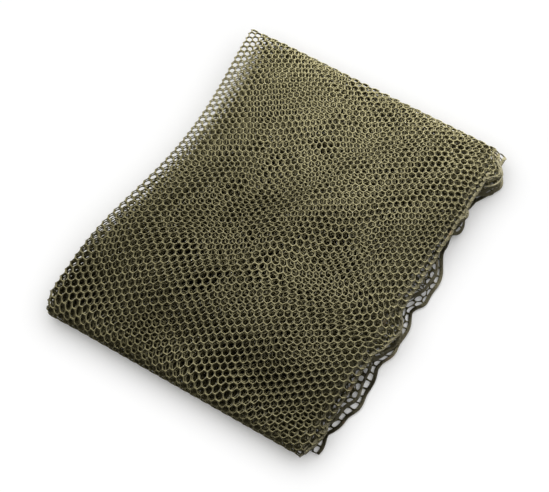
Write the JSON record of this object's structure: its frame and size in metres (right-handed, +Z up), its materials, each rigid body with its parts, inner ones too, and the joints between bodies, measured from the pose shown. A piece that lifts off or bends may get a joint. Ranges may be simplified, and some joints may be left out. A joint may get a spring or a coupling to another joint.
{
  "type": "folded fishing net",
  "caption": "Soft knitted fishing net with round mesh cells and a bound hem, folded flat into a thick rectangular bundle that opens like a concertina.",
  "frame": {"origin": "middle of the bundle's resting face, at the table", "axes": "+X towards the cloth's hemmed edges, +Y along the panels towards the back fold, +Z up from the resting face"},
  "size_m": [0.256, 0.3146, 0.0284],
  "materials": {
    "netting": "knitted olive polyester yarn mesh, matt with a faint sheen",
    "hem": "narrow woven olive tape, folded over the raw edge",
    "stitching": "olive sewing thread"
  },
  "bodies": {
    "bottom_panel": {"bottom_ply_1": "netting", "bottom_ply_2": "netting", "bottom_ply_3": "netting", "bottom_ply_4": "netting", "bottom_lower_left_fold": "netting", "bottom_upper_left_fold": "netting", "bottom_right_fold": "netting", "bottom_lower_hem": "hem", "bottom_upper_hem": "hem", "back_fold_lower_half": "netting"},
    "middle_panel": {"middle_ply_1": "netting", "middle_ply_2": "netting", "middle_ply_3": "netting", "middle_ply_4": "netting", "middle_lower_left_fold": "netting", "middle_upper_left_fold": "netting", "middle_right_fold": "netting", "middle_lower_hem": "hem", "middle_upper_hem": "hem", "back_fold_upper_half": "netting", "front_fold_lower_half": "netting"},
    "top_panel": {"top_ply_1": "netting", "top_ply_2": "netting", "top_ply_3": "netting", "top_ply_4": "netting", "top_lower_left_fold": "netting", "top_upper_left_fold": "netting", "top_right_fold": "netting", "top_lower_hem": "hem", "top_upper_hem": "hem", "front_fold_upper_half": "netting"}
  },
  "joints": [
    {"name": "back_fold", "type": "hinge", "parent": "bottom_panel", "child": "middle_panel", "pos_m": [0, 0.1575, 0.0094], "axis": [-1, 0, 0], "range_deg": [0, 180]},
    {"name": "front_fold", "type": "hinge", "parent": "middle_panel", "child": "top_panel", "pos_m": [0, -0.1575, 0.019], "axis": [1, 0, 0], "range_deg": [0, 180]}
  ],
  "couplings": [
    {"joint": "front_fold", "follows": "back_fold", "ratio": 1}
  ]
}
